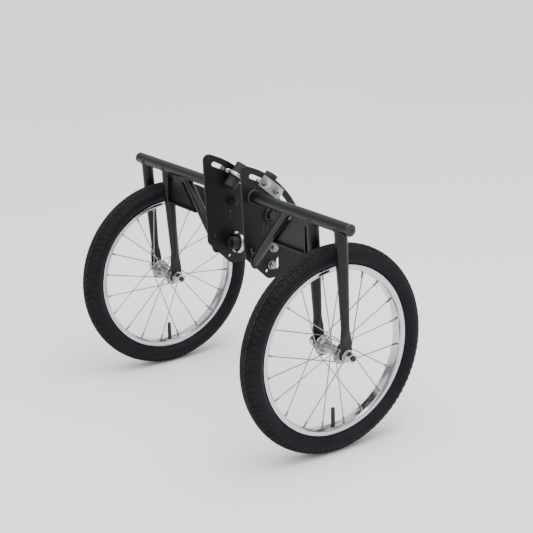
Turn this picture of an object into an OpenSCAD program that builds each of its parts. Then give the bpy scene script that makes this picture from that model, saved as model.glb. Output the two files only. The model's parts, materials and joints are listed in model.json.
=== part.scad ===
// A pair of bicycle training wheels for an adult bicycle, as they stand when fitted.
// +X is the rider's right, +Y is forward and +Z is up. The origin is on the ground,
// midway between the two wheels and under their axles.

/* [Stance] */
// Distance of each wheel's middle from the middle of the pair
wheel_x = 285; // [270:1:310]
// Height of the arm's centre line over the top of the tyre
arm_over_tyre = 42; // [35:0.5:50]
// How far the arm lies behind the axle
arm_back = 12; // [6:0.5:14]

/* [Bracket plate] */
// Distance of the plate's outer face from the middle of the pair
plate_x = 65.5; // [62:0.5:75]
// Thickness of the plate
plate_t = 4; // [3:0.25:6]
// Distance from the axle line back to the plate's rear edge
plate_rear = 40; // [38:0.5:46]
// Depth of the plate's rear lower corner below the arm's centre line
plate_heel = 115; // [110:1:132]
// Depth of the plate's bottom edge below the arm's centre line
plate_bottom = 165; // [162:1:174]
// Where the chamfer of the heel meets the bottom edge, forward of the axle line
plate_toe_y = 17; // [10:1:20]
// Rounding of the plate's corners
plate_corner_r = 12; // [6:1:14]
// How far behind the axle line the centre of the curved edge lies
arc_back = 90; // [86:0.5:94]
// Height of the curved edge's topmost point, were it a whole circle, over the arm's centre line
arc_rise = 71; // [69:0.5:73]
// Radius of the plate's curved edge
arc_r = 199; // [196:0.5:204]
// Distance of the curved slot's middle from the plate's curved edge
slot_in = 16; // [14:0.5:19]
// Angle at which the curved slot ends in front
slot_front = 30; // [26:0.5:32]
// Angle at which the curved slot ends behind
slot_rear = 66.5; // [64:0.5:67]

/* [Arm, brace and legs] */
// Outer diameter of the arm
arm_d = 22; // [19:0.5:25]
// Wall of the arm's tube
arm_wall = 2; // [1.5:0.25:3]
// How far the arm runs past the outer leg's centre line
arm_past = 26; // [20:1:32]
// Outer diameter of the brace
brace_d = 18; // [15:0.5:20]
// Depth below the arm's centre line at which the brace's centre line meets the plate
brace_foot = 123; // [116:1:127]
// Distance from the plate at which the brace's centre line meets the arm's
brace_reach = 114; // [104:1:120]
// Outer diameter of a leg where it meets the arm
leg_top_d = 23; // [20:0.5:24]
// Outer diameter of a leg above its flattened end
leg_low_d = 16; // [14:0.5:18]
// Length of a leg's straight upper part, from the arm's centre line
leg_straight = 62; // [40:1:80]
// Height above the axle at which a leg's taper ends
leg_taper_end = 58; // [50:1:75]
// Thickness of a leg's flattened end
tab_t = 5; // [4:0.25:6]
// Width of a leg's flattened end
tab_w = 24; // [20:0.5:28]
// Size of the weld beads
weld = 3; // [2:0.25:4]

/* [Gusset] */
// Thickness of the gusset's sheet
gusset_t = 2.5; // [2:0.25:4]
// Depth of the gusset's bottom edge below the arm's centre line
gusset_bottom = 71; // [62:1:82]
// Depth of the gusset's turned edges
gusset_lip = 9; // [6:0.5:12]
// Space between the gusset's sloping edge and the brace
gusset_gap = 3; // [2:0.5:5]

/* [Frame clamps] */
// Diameter of the U-bolts
bolt_d = 8; // [6:0.5:8.5]
// Angle round the curved slot at which the upper clamp sits
clamp_angle = 50.6; // [46:0.1:54]
// Length of the upper clamp's outer plate
clamp_l = 57; // [52:0.5:60]
// Height of the upper clamp's outer plate
clamp_h = 23; // [20:0.5:24]
// Thickness of the upper clamp's outer plate
clamp_t = 3.5; // [3:0.25:5]
// Diameter of the frame tube that a clamp holds
stay_d = 17; // [14:0.5:18]
// Wall of the rubber saddles that sleeve the frame tubes
saddle_t = 3.9; // [3:0.1:4.5]
// Length of the upper clamp's saddle
saddle_l = 50; // [40:1:52]
// Length of the lower clamp's saddle
low_saddle_l = 34; // [26:1:40]
// Depth of the lower clamp's middle below the arm's centre line
low_clamp_below = 122; // [120:0.5:124]
// Distance of the lower clamp's middle from the axle line
low_clamp_y = 26.5; // [25:0.5:28]
// Tilt of the lower clamp's row of bolts
low_clamp_tilt = 8.5; // [5:0.5:9]
// Depth of the steadying bolt below the arm's centre line
steady_below = 41; // [38:0.5:44]
// Distance of the steadying bolt from the axle line
steady_y = 26; // [24:0.5:28]
// Diameter of the steadying bolt
steady_d = 10; // [8:0.5:12]
// Diameter of the steadying bolt's broad collar
steady_collar_d = 32; // [26:1:34]

/* [Wheel] */
// Outer diameter of the tyre
tyre_d = 390; // [388:1:394]
// Width of the tyre
tyre_w = 45; // [42:0.5:47]
// Height of the tyre's section outside the rim
tyre_h = 36.5; // [36:0.5:38]
// Height over the rim's edge at which the tyre is widest
tyre_waist = 16; // [15:0.5:17]
// Thickness of the tyre's side wall
tyre_wall = 2.6; // [2:0.2:3]
// Thickness of the tyre under its tread
tread_t = 5; // [4:0.25:6]
// Depth of the grooves in the tread
groove = 2; // [1:0.25:2.5]
// Number of notches along each shoulder of the tread
notches = 64; // [24:4:80]
// Width of the rim
rim_w = 26; // [25:0.5:28]
// Depth of the rim
rim_h = 11.5; // [10.5:0.5:12]
// Thickness of the rim's steel
rim_t = 1.5; // [1.2:0.1:1.6]
// Number of spokes
spokes_n = 20; // [20:20:20]
// Diameter of a spoke
spoke_d = 2; // [1.8:0.1:2.3]
// Diameter of a spoke nipple
nipple_d = 4; // [3.6:0.1:4.2]
// Length of a spoke nipple
nipple_l = 13; // [10:0.5:14]

/* [Hub] */
// Distance between the inner faces of the two flattened leg ends
hub_w = 75; // [72:0.5:80]
// Distance of each hub flange from the leg beside it
flange_in = 11.5; // [10.5:0.5:12.5]
// Distance of each ring of bearing balls from the leg beside it
ball_in = 8; // [7.5:0.5:8.5]
// Diameter of the hub flanges
flange_d = 39; // [36:0.5:42]
// Thickness of the hub flanges
flange_t = 2.4; // [2:0.1:3]
// Diameter of the circle of spoke holes
spoke_circle_d = 34; // [32:0.5:35]
// Diameter of the hub's barrel
barrel_d = 19; // [17:0.5:21]
// Diameter of the hub's bearing cups
cup_d = 27; // [26:0.5:28]
// Diameter of the axle
axle_d = 9.5; // [8:0.5:10]
// How far the axle runs past the flattened leg ends
axle_past = 19.5; // [16:0.5:24]
// Diameter of a bearing ball
ball_d = 4.75; // [4.5:0.05:5]
// Number of balls in each bearing
balls_n = 9; // [6:1:9]

/* [Hidden] */
$fn = 64;

// Clearances between pieces that touch, of a saddle that slides, and of a shank in its hole
seat = 0.1;
slide_gap = 0.3;
hole_play = 0.6;

axle_z = tyre_d / 2;
tyre_r = tyre_d / 2;
arm_z = tyre_d + arm_over_tyre;
arm_y = -arm_back;
arm_x0 = plate_x + seat;
leg_x = hub_w / 2 + tab_t / 2;
arm_x1 = wheel_x + leg_x + arm_past;
leg_lean = atan2(arm_back, arm_z - axle_z);
leg_length = norm([arm_back, arm_z - axle_z]);
brace_foot_z = arm_z - brace_foot;
brace_angle = atan2(brace_reach, brace_foot);
brace_length = norm([brace_reach, brace_foot]);

// Sizes of nuts, heads and washers, from the thread's diameter
function af(d) = d * 1.62;
function nut_h(d) = d * 0.8;
function head_h(d) = d * 0.66;
function washer_d(d) = d * 2.05;
washer_t = 1.6;
bolt_hole_d = bolt_d + hole_play;
slot_w = bolt_hole_d;
stud_past = 4;

// The plate's faces, edges and slot
plate_in = plate_x - plate_t;
plate_bottom_z = arm_z - plate_bottom;
arc_z = arm_z + arc_rise - arc_r;
slot_r = arc_r - slot_in;

// Straight slots of the plate: distance forward of the axle line, depth below the arm's centre line,
// width, length and tilt of each
plate_slots = [[8.3, 69, 4, 20, 0], [17.8, 66, 6.5, 16, 0], [39.5, 137.5, 7, 24, 0], [-20, 104, 5, 15, 12]];

// Round hole low on the plate: the same places, and its diameter
low_hole = [14.5, 149, 6.5];

// The clamped frame tube's axis lies inside the plate
saddle_d = stay_d + 2 * saddle_t;
clamp_pitch = saddle_d + bolt_d + 2 * seat;
stay_x = plate_in - slide_gap - saddle_d / 2;
clamp_r = sqrt(pow(slot_r, 2) - pow(clamp_pitch / 2, 2));
clamp_y = -arc_back + clamp_r * cos(clamp_angle);
clamp_z = arc_z + clamp_r * sin(clamp_angle);

low_clamp_z = arm_z - low_clamp_below;

// The steadying bolt under the arm
steady_z = arm_z - steady_below;
steady_collar_t = 4;

axle_half = hub_w / 2 + tab_t + axle_past;
axle_nut_af = axle_d * 1.8;
axle_nut_h = axle_d * 1.5;
axle_washer_d = axle_d * 2.45;
locknut_t = 3;
rim_r = tyre_r - tyre_h;
bed_r = rim_r - rim_h;
bead_r = rim_r - 6;
section_r = rim_r + tyre_waist;
flange_x = hub_w / 2 - flange_in;
spoke_circle_r = spoke_circle_d / 2;
ball_circle_r = axle_d / 2 + ball_d;
ball_x = hub_w / 2 - ball_in;
race_gap = ball_d / 2 + seat;
cup_end_x = ball_x + ball_d / 2 + 2;
cup_bore_r = ball_circle_r + race_gap + seat;
tube_gap = 1.3;
valve_angle = -90;
valve_d = 7.6;
valve_l = 32;
valve_cap_l = 10.6;

// Placing helpers

// Puts its children on the left side of the pair
module left() { mirror([1, 0, 0]) children(); }

// Points of an ellipse, from angle a to angle b in n steps
function ellipse(rx, ry, a, b, n) =
    [for (i = [0 : n]) let(t = a + (b - a) * i / n) [rx * cos(t), ry * sin(t)]];

// A plate drawn in Y and Z, from x towards +X
module sheet(x, t) { translate([x, 0, 0]) rotate([90, 0, 90]) linear_extrude(t) children(); }

// A round bar along X from x0 to x1
module bar(x0, x1, y, z, d) { translate([x0, y, z]) rotate([0, 90, 0]) cylinder(h = x1 - x0, d = d); }

// A hexagon along Z with its corners rounded off
module hexagon(h, flats) {
    intersection() {
        cylinder(h = h, d = flats / cos(30), $fn = 6);
        cylinder(h = h, d = flats * 1.09);
    }
}

// Frame at the upper clamp: Y runs along the row of bolts, Z points away from the arc's centre
module at_clamp() { translate([0, clamp_y, clamp_z]) rotate([clamp_angle - 90, 0, 0]) children(); }

// Frame at the lower clamp: Y runs along its row of bolts
module at_low_clamp() {
    translate([0, low_clamp_y, low_clamp_z]) rotate([90 - low_clamp_tilt, 0, 0]) children();
}

// Frame of the wheel: Z is the axle, pointing outwards, and +X points down
module at_wheel() { translate([wheel_x, 0, axle_z]) rotate([0, 90, 0]) children(); }

// Bracket plate

module plate_outline() {
    offset(r = plate_corner_r, $fn = 48) offset(delta = -plate_corner_r) intersection() {
        translate([-arc_back, arc_z]) circle(r = arc_r, $fn = 160);
        polygon([
            [-plate_rear, arc_z + arc_r], [-plate_rear + 6, arm_z - plate_heel],
            [plate_toe_y, plate_bottom_z], [arc_r - arc_back - 1, plate_bottom_z],
            [arc_r - arc_back - 1, arc_z + arc_r]
        ]);
    }
}

// A straight slot through the plate, drawn upright and then tilted
module slot_cut(y, z, w, l, tilt) {
    sheet(plate_in - 1, plate_t + 2) translate([y, z]) rotate(tilt) union() {
        square([w, l - w], center = true);
        translate([0, (l - w) / 2]) circle(d = w);
        translate([0, (w - l) / 2]) circle(d = w);
    }
}

module curved_slot() {
    span = slot_rear - slot_front;
    translate([plate_in - 1, -arc_back, arc_z]) rotate([90, 0, 90]) {
        rotate([0, 0, slot_front]) rotate_extrude(angle = span, $fn = 180)
            translate([slot_r - slot_w / 2, 0]) square([slot_w, plate_t + 2]);
        for (a = [slot_front, slot_rear])
            rotate([0, 0, a]) translate([slot_r, 0, 0]) cylinder(h = plate_t + 2, d = slot_w);
    }
}

module bracket_plate() {
    color("#1b1c1f") difference() {
        sheet(plate_in, plate_t) plate_outline();
        curved_slot();
        for (s = plate_slots) slot_cut(s[0], arm_z - s[1], s[2], s[3], s[4]);
        bar(plate_in - 1, plate_x + 1, low_hole[0], arm_z - low_hole[1], low_hole[2]);
        for (s = [-1, 1]) at_low_clamp() bar(plate_in - 1, plate_x + 1, s * clamp_pitch / 2, 0, bolt_hole_d);
        bar(plate_in - 1, plate_x + 1, steady_y, steady_z, steady_d + hole_play);
    }
}

// Arm, brace, gusset and legs

// A tube with a rounded ring of weld at its inner end
module arm() {
    bead_r = weld * 0.85;
    bead = [for (p = ellipse(bead_r, bead_r, 0, 90, 6)) [arm_d / 2 + p[0], p[1]]];
    color("#202124") translate([arm_x0, arm_y, arm_z]) rotate([0, 90, 0]) rotate_extrude()
        polygon(concat(bead, [
            [arm_d / 2, arm_x1 - arm_x0], [arm_d / 2 - arm_wall, arm_x1 - arm_x0], [arm_d / 2 - arm_wall, 0]
        ]));
}

// Moulded end plug with ribs inside the tube and a dimple in its face
module arm_plug() {
    color("#141414") translate([arm_x1 + seat, arm_y, arm_z]) rotate([0, 90, 0]) difference() {
        union() {
            rotate_extrude() polygon([
                [0, 0], [arm_d / 2, 0], [arm_d / 2, 1.6], [arm_d / 2 - 1, 2.8],
                [arm_d / 2 - 3, 3.4], [0, 3.6]
            ]);
            translate([0, 0, -14]) cylinder(h = 14, d = arm_d - 2 * arm_wall - 2);
            for (h = [-12, -8, -4]) translate([0, 0, h])
                cylinder(h = 1.5, d = arm_d - 2 * arm_wall - 2 * seat);
        }
        translate([0, 0, 2.2]) cylinder(h = 2, d = 6);
        translate([0, 0, -15]) cylinder(h = 12, d = arm_d - 2 * arm_wall - 6);
    }
}

module brace_line(l, d) {
    translate([plate_x, arm_y, brace_foot_z]) rotate([0, brace_angle, 0]) translate([0, 0, -arm_d])
        cylinder(h = l + 2 * arm_d, d = d);
}

// The brace meets the plate at a slant, so its weld is an oval
module brace_bead() {
    ry = brace_d / 2 + weld * 0.8;
    rz = brace_d / 2 / sin(brace_angle) + weld * 0.8;
    sheet(arm_x0, weld * 0.8) translate([arm_y, brace_foot_z]) polygon(ellipse(ry, rz, 0, 350, 35));
}

module brace() {
    color("#202124") difference() {
        union() {
            brace_line(brace_length, brace_d);
            brace_bead();
        }
        brace_line(brace_length + 2, brace_d - 2 * arm_wall);
        translate([arm_x0 - brace_foot, arm_y - brace_foot / 2, brace_foot_z - brace_foot / 2])
            cube(brace_foot);
        bar(arm_x0 - 1, arm_x1, arm_y, arm_z, arm_d + 2 * seat);
        translate([plate_x, arm_y - brace_reach, arm_z]) cube(2 * brace_reach);
    }
}

// Corner points of the gusset in X and Z
gusset_x1 = wheel_x - leg_x - leg_top_d / 2 - seat;
gusset_top_z = arm_z - arm_d / 2 - seat;
gusset_bottom_z = arm_z - gusset_bottom;
brace_side = (brace_d / 2 + gusset_gap) / cos(brace_angle);
function brace_edge_x(z) = plate_x + (z - brace_foot_z) * tan(brace_angle) + brace_side;

module gusset_sheet() {
    polygon([
        [brace_edge_x(gusset_bottom_z), gusset_bottom_z], [gusset_x1, gusset_bottom_z],
        [gusset_x1, gusset_top_z], [brace_edge_x(gusset_top_z), gusset_top_z]
    ]);
}

module gusset() {
    color("#26272b") translate([0, arm_y + gusset_t / 2, 0]) rotate([90, 0, 0]) {
        linear_extrude(gusset_t) gusset_sheet();
        linear_extrude(gusset_lip) difference() {
            gusset_sheet();
            translate([0, gusset_t]) intersection() {
                translate([gusset_t / cos(brace_angle), 0]) gusset_sheet();
                translate([-gusset_t, 0]) gusset_sheet();
            }
            translate([0, gusset_top_z - gusset_t * 3]) square([gusset_x1 + 1, gusset_t * 4]);
        }
    }
}

// One fork leg: straight tube, taper, pressed neck and flattened round end with the axle hole
module leg(x) {
    neck_w = tab_w - 2;
    neck_t = tab_t - 2 * seat;
    flat_l = tab_w * 0.75;
    press_l = leg_taper_end - flat_l;
    wedge = leg_low_d / 2 + 1;
    thin = neck_t / 2 - 0.2;
    color("#202124") difference() {
        union() {
            translate([x, arm_y, arm_z]) rotate([180 + leg_lean, 0, 0]) {
                cylinder(h = leg_straight, d = leg_top_d);
                translate([0, 0, leg_straight])
                    cylinder(h = leg_length - leg_straight - leg_taper_end, d1 = leg_top_d, d2 = leg_low_d);
                translate([0, 0, leg_length - leg_taper_end]) intersection() {
                    cylinder(h = press_l, d1 = leg_low_d, d2 = neck_w - 0.5);
                    rotate([90, 0, 0]) translate([0, 0, -tab_w]) linear_extrude(2 * tab_w)
                        polygon([[-wedge, -1], [wedge, -1], [thin, press_l + 1], [-thin, press_l + 1]]);
                }
                translate([-neck_t / 2, -neck_w / 2, leg_length - flat_l - 2])
                    cube([neck_t, neck_w, flat_l + 2]);
            }
            bar(x - tab_t / 2, x + tab_t / 2, 0, axle_z, tab_w);
        }
        bar(x - leg_top_d, x + leg_top_d, arm_y, arm_z, arm_d + 2 * seat);
        translate([x - leg_straight, arm_y - leg_straight, arm_z]) cube(2 * leg_straight);
        bar(x - tab_t, x + tab_t, 0, axle_z, axle_d + 2 * seat);
    }
}

module inner_leg() { leg(wheel_x - leg_x); }
module outer_leg() { leg(wheel_x + leg_x); }

// Upper clamp, which slides round the curved slot

module clamp_plate() {
    color("#c9cccb") at_clamp() difference() {
        translate([plate_x + seat, 0, 0]) rotate([90, 0, 90]) linear_extrude(clamp_t)
            offset(r = 1.5, $fn = 24) square([clamp_l - 3, clamp_h - 3], center = true);
        for (s = [-1, 1]) bar(plate_x - 1, plate_x + clamp_t + 1, s * clamp_pitch / 2, 0, bolt_hole_d);
    }
}

// A rubber sleeve round a frame tube
module saddle(l) {
    translate([stay_x, 0, -l / 2]) difference() {
        cylinder(h = l, d = saddle_d);
        translate([0, 0, -1]) cylinder(h = l + 2, d = stay_d);
    }
}

// U-bolt round a saddle, whose ends pass a nut that seats on the face at x
module u_bolt(x) {
    r = clamp_pitch / 2;
    end_x = x + washer_t + nut_h(bolt_d) + stud_past;
    translate([stay_x, 0, 0]) rotate([0, 0, 90]) rotate_extrude(angle = 180)
        translate([r, 0]) circle(d = bolt_d, $fn = 32);
    for (s = [-1, 1]) bar(stay_x, end_x, s * r, 0, bolt_d);
}

// Nut and washer against the face at x, outside it where way is 1 and inside it where way is -1
module nut_on(x, y, z, d, way) {
    translate([x + way * seat, y, z]) rotate([0, way * 90, 0]) difference() {
        union() {
            cylinder(h = washer_t, d = washer_d(d));
            translate([0, 0, washer_t]) hexagon(nut_h(d), af(d));
        }
        translate([0, 0, -1]) cylinder(h = 2 * d, d = d + 2 * seat);
    }
}

module clamp_saddle() { color("#1b1c1f") at_clamp() saddle(saddle_l); }
module clamp_bolts() { color("#b9bdbc") at_clamp() u_bolt(plate_x + clamp_t); }

module clamp_nuts() {
    color("#b9bdbc") at_clamp() for (s = [-1, 1])
        nut_on(plate_x + clamp_t + seat, s * clamp_pitch / 2, 0, bolt_d, 1);
}

// Lower clamp, whose nuts seat on the plate itself

module low_saddle() { color("#1b1c1f") at_low_clamp() saddle(low_saddle_l); }
module low_bolts() { color("#c4c7c6") at_low_clamp() u_bolt(plate_x); }

module low_nuts() {
    color("#c4c7c6") at_low_clamp() for (s = [-1, 1]) nut_on(plate_x, s * clamp_pitch / 2, 0, bolt_d, 1);
}

// Steadying bolt under the arm, with its broad dished collar

module steady_bolt() {
    collar_r = steady_collar_d / 2;
    dish_r = af(steady_d) * 0.62;
    dish_t = steady_collar_t - 2;
    end_x = plate_in - nut_h(steady_d) - washer_t - 3;
    color("#18191b") {
        bar(end_x, plate_x + dish_t, steady_y, steady_z, steady_d);
        translate([plate_x + seat, steady_y, steady_z]) rotate([0, 90, 0]) {
            rotate_extrude() polygon([
                [0, 0], [collar_r, 0], [collar_r, 2], [collar_r - 1.2, steady_collar_t - 0.4],
                [collar_r - 2.6, steady_collar_t], [collar_r - 4.2, steady_collar_t - 0.6],
                [dish_r, dish_t], [0, dish_t]
            ]);
            translate([0, 0, dish_t - 0.5]) hexagon(head_h(steady_d), af(steady_d));
        }
    }
}

module steady_nut() { color("#b9bdbc") nut_on(plate_in, steady_y, steady_z, steady_d, -1); }

// Axle set, which stays still while the wheel turns

module axle() {
    color("#3b3a38") at_wheel() rotate_extrude() polygon([
        [0, -axle_half], [axle_d / 2 - 1, -axle_half], [axle_d / 2, 1 - axle_half],
        [axle_d / 2, axle_half - 1], [axle_d / 2 - 1, axle_half], [0, axle_half]
    ]);
}

// Cones, whose sloping races bear on the balls at 45 degrees
module cones() {
    neck_r = axle_d / 2 + 1.2;
    slope = race_gap * sqrt(2);
    shoulder_r = ball_circle_r + 0.4;
    end_x = hub_w / 2 - locknut_t - 2 * seat;
    color("#8f9190") at_wheel() for (s = [0, 1]) mirror([0, 0, s]) rotate_extrude() polygon([
        [axle_d / 2 + seat / 2, ball_x - ball_d], [neck_r, ball_x - ball_d],
        [neck_r, ball_x + slope + neck_r - ball_circle_r],
        [shoulder_r, ball_x + slope + shoulder_r - ball_circle_r],
        [shoulder_r, end_x], [axle_d / 2 + seat / 2, end_x]
    ]);
}

module locknuts() {
    color("#b4b7b6") at_wheel() for (s = [0, 1]) mirror([0, 0, s]) difference() {
        translate([0, 0, hub_w / 2 - locknut_t - seat])
            cylinder(h = locknut_t, d = af(axle_d) / cos(30), $fn = 6);
        cylinder(h = hub_w, d = axle_d + seat);
    }
}

module axle_washers() {
    color("#b4b7b6") at_wheel() for (s = [0, 1]) mirror([0, 0, s]) difference() {
        translate([0, 0, hub_w / 2 + tab_t + seat]) cylinder(h = washer_t, d = axle_washer_d);
        cylinder(h = hub_w, d = axle_d + seat);
    }
}

module axle_nuts() {
    base = hub_w / 2 + tab_t + washer_t + 2 * seat;
    color("#c3c6c5") at_wheel() for (s = [0, 1]) mirror([0, 0, s]) difference() {
        translate([0, 0, base]) intersection() {
            cylinder(h = axle_nut_h, d = axle_nut_af / cos(30), $fn = 6);
            cylinder(h = axle_nut_h, d1 = axle_nut_af * 1.2, d2 = axle_nut_af * 1.05);
        }
        cylinder(h = hub_w, d = axle_d + seat);
    }
}

// Wheel

// The same outline on the other side of x = 0, in reverse order
function mirrored(pts) = [for (i = [len(pts) - 1 : -1 : 0]) [-pts[i][0], pts[i][1]]];

// Half outlines of the tyre's section, from crown to bead outside and inside,
// with x across the wheel and y outwards from the axle
half_w = tyre_w / 2;
crown = tyre_r - section_r;
low = section_r - rim_r - 1.2;
bead_x = rim_w / 2 - rim_t - 0.3;
tyre_out = concat(
    [for (p = ellipse(half_w, crown, 90, 0, 12)) [p[0], section_r + p[1]]],
    [[half_w - 0.9, section_r - low * 0.3], [half_w - 3.8, section_r - low * 0.62],
     [bead_x - 1, rim_r + 0.4], [bead_x - 1, rim_r - 2.8], [bead_x, rim_r - 3.6], [bead_x, bead_r]]
);
tyre_in = concat(
    [[bead_x - 2.6, bead_r], [bead_x - 3.4, bead_r + 1], [bead_x - 2.6, rim_r + 1.5],
     [half_w - tyre_wall - 1.6, section_r - low * 0.45]],
    [for (p = ellipse(half_w - tyre_wall, crown - tread_t, 0, 90, 8)) [p[0], section_r + p[1]]]
);

module tyre_section() {
    out_all = concat(mirrored(tyre_out), [for (i = [1 : len(tyre_out) - 1]) tyre_out[i]]);
    in_all = concat(tyre_in, [for (i = [1 : len(tyre_in) - 1]) mirrored(tyre_in)[i]]);
    polygon(concat(out_all, in_all));
}

module tyre() {
    shoulder = 52;
    color("#1a1a1b") at_wheel() difference() {
        rotate_extrude($fn = 180) rotate(-90) tyre_section();
        for (x = [-5.5, 5.5]) rotate_extrude($fn = 180) translate([tyre_r - 1 - groove, x - 1])
            square([groove + 6, 2]);
        for (x = [-12, 10]) rotate_extrude($fn = 180) translate([tyre_r - 3.6 - groove, x])
            square([groove + 8, 2]);
        for (i = [0 : notches - 1], s = [-1, 1]) rotate([0, 0, (i + s / 4) * 360 / notches])
            translate([section_r, 0, 0]) rotate([0, -s * shoulder, 0])
                translate([tyre_w / 2 - groove - 1.2, -1.6, -5]) cube([groove * 4, 3.2, 10]);
    }
}

// Half outline of the rim, from the middle of its bed out to the lip and back inside
rim_half = let(half = rim_w / 2) [
    [0, bed_r], [half - 5, bed_r + 0.4], [half - 1.4, bed_r + 2.2], [half, bed_r + 4.5],
    [half, rim_r - 2.2], [half + 0.4, rim_r - 1.3], [half + 0.2, rim_r - 0.4], [half - 0.8, rim_r],
    [half - 1.9, rim_r - 0.4], [half - 2.3, rim_r - 1.3], [half - rim_t, rim_r - 2.4],
    [half - rim_t, bed_r + 5], [half - rim_t - 1, bed_r + 2.8 + rim_t / 2], [half - 5, bed_r + 0.4 + rim_t],
    [0, bed_r + rim_t]
];

module rim_section() {
    back = mirrored(rim_half);
    polygon(concat(rim_half, [for (i = [1 : len(back) - 2]) back[i]]));
}

spoke_step = 360 / spokes_n;

// Each spoke: its rim hole's angle, its side and the way that it leans
function rim_angle(i) = (i + 0.5) * spoke_step;
function side_of(i) = i % 2 == 0 ? 1 : -1;
function lean_of(i) = floor(i / 2) % 2 == 0 ? 1 : -1;
lace_turn = 4 * spoke_step;

// Where a spoke leaves its flange, and where it meets the rim
function hub_point(i) = let(a = rim_angle(i) - lean_of(i) * lace_turn)
    [spoke_circle_r * cos(a), spoke_circle_r * sin(a), side_of(i) * (flange_x + lean_of(i) * elbow_out(i))];
function rim_point(i) = let(a = rim_angle(i))
    [(bed_r + rim_t / 2) * cos(a), (bed_r + rim_t / 2) * sin(a), side_of(i) * 2];

// A spoke on the flange's outer face has to pass over the flange's edge as it leans inwards
function elbow_out(i) = flange_t / 2 + spoke_d / 2 + (lean_of(i) > 0 ? 1.8 : 0.4);
head_d = spoke_d * 1.6;
head_t = spoke_d * 0.5;

// Puts its children at a point with Z along the line to another point
module along(p, q) {
    v = q - p;
    translate(p) rotate([0, acos(v[2] / norm(v)), atan2(v[1], v[0])]) children();
}

module rim() {
    color("#d5d7da") at_wheel() difference() {
        rotate_extrude($fn = 180) rotate(-90) rim_section();
        for (i = [0 : spokes_n - 1]) along(rim_point(i), hub_point(i)) translate([0, 0, -4])
            cylinder(h = 8, d = nipple_d + 0.4);
        rotate([0, 0, valve_angle + 90]) translate([bed_r - 4, 0, 0]) rotate([0, 90, 0])
            cylinder(h = 8, d = valve_d + 0.4);
    }
}

// A spoke: straight wire, and the bent end that passes through the flange to its head
module spokes() {
    color("#cfd2d4") at_wheel() for (i = [0 : spokes_n - 1]) {
        p = hub_point(i);
        q = rim_point(i);
        turn = lean_of(i) * side_of(i) > 0 ? 1 : 0;
        reach = elbow_out(i) + flange_t / 2 + seat;
        r = spoke_d / 2 + 0.08;
        along(p, q) translate([0, 0, -0.6]) cylinder(h = norm(q - p) - 1.4, d = spoke_d, $fn = 16);
        translate(p) mirror([0, 0, turn]) rotate_extrude($fn = 16) polygon([
            [0, -r], [r * 0.6, -r * 0.85], [r, -0.3], [r, reach], [head_d / 2, reach],
            [head_d / 2, reach + head_t * 0.6], [head_d / 4, reach + head_t], [0, reach + head_t]
        ]);
    }
}

module nipples() {
    color("#dadcdd") at_wheel() for (i = [0 : spokes_n - 1]) {
        along(rim_point(i), hub_point(i)) difference() {
            union() {
                translate([0, 0, -rim_t / 2 - 1.5]) cylinder(h = nipple_l, d = nipple_d, $fn = 16);
                translate([0, 0, -rim_t / 2 - 2.4])
                    cylinder(h = 1.8, d1 = nipple_d * 1.45, d2 = nipple_d * 1.3);
            }
            translate([0, 0, 0.5]) cylinder(h = nipple_l, d = spoke_d + 2 * seat, $fn = 16);
        }
    }
}

// Half outline of the hub shell, outside from its middle to its end, then back through the cup
hub_half = let(
    bore_r = axle_d / 2 + 1.6, cup_r = cup_d / 2, low_r = bore_r + 1.6,
    race_x = ball_x - race_gap * sqrt(2) - ball_circle_r
) [
    [barrel_d / 2, 0], [barrel_d / 2, flange_x - flange_t - 4], [cup_r - 1, flange_x - flange_t / 2],
    [flange_d / 2 - 0.6, flange_x - flange_t / 2], [flange_d / 2, flange_x - flange_t / 2 + 0.6],
    [flange_d / 2, flange_x + flange_t / 2 - 0.6], [flange_d / 2 - 0.6, flange_x + flange_t / 2],
    [cup_r, flange_x + flange_t / 2], [cup_r, cup_end_x - 1], [cup_r - 0.6, cup_end_x],
    [cup_bore_r, cup_end_x], [cup_bore_r, race_x + cup_bore_r], [low_r, race_x + low_r],
    [bore_r, race_x + low_r], [bore_r, 0]
];

module hub_shell() {
    back = [for (i = [len(hub_half) - 2 : -1 : 1]) [hub_half[i][0], -hub_half[i][1]]];
    color("#c9cccd") at_wheel() difference() {
        rotate_extrude() polygon(concat(hub_half, back));
        for (i = [0 : spokes_n - 1]) {
            p = hub_point(i);
            translate([p[0], p[1], side_of(i) * flange_x - flange_t])
                cylinder(h = 2 * flange_t, d = spoke_d + 0.4);
        }
    }
}

module dust_caps() {
    color("#d2d4d5") at_wheel() for (s = [0, 1]) mirror([0, 0, s]) rotate_extrude() polygon([
        [ball_circle_r + 0.8, cup_end_x - 1], [cup_bore_r - seat / 2, cup_end_x - 1],
        [cup_bore_r - seat / 2, cup_end_x], [ball_circle_r + 0.8, cup_end_x - 0.3]
    ]);
}

module bearing_balls() {
    color("#e2e4e5") at_wheel() for (s = [-1, 1], i = [0 : balls_n - 1])
        rotate([0, 0, i * 360 / balls_n]) translate([ball_circle_r, 0, s * ball_x])
            sphere(d = ball_d, $fn = 24);
}

// The tube fills the tyre and is one piece with its valve stem
module inner_tube() {
    tube_w = half_w - tyre_wall - tube_gap;
    tube_h = crown - tread_t - tube_gap;
    tube_t = 1.2;
    color("#2a2a2a") at_wheel() {
        rotate_extrude($fn = 120) translate([section_r, 0]) difference() {
            polygon(ellipse(tube_h, tube_w, 0, 345, 23));
            polygon(ellipse(tube_h - tube_t, tube_w - tube_t, 0, 345, 23));
        }
        rotate([0, 0, valve_angle + 90]) translate([bed_r - valve_l + 8, 0, 0]) rotate([0, 90, 0])
            cylinder(h = section_r - tube_h + tube_t * 0.7 - bed_r + valve_l - 8, d = valve_d);
    }
}

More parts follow.
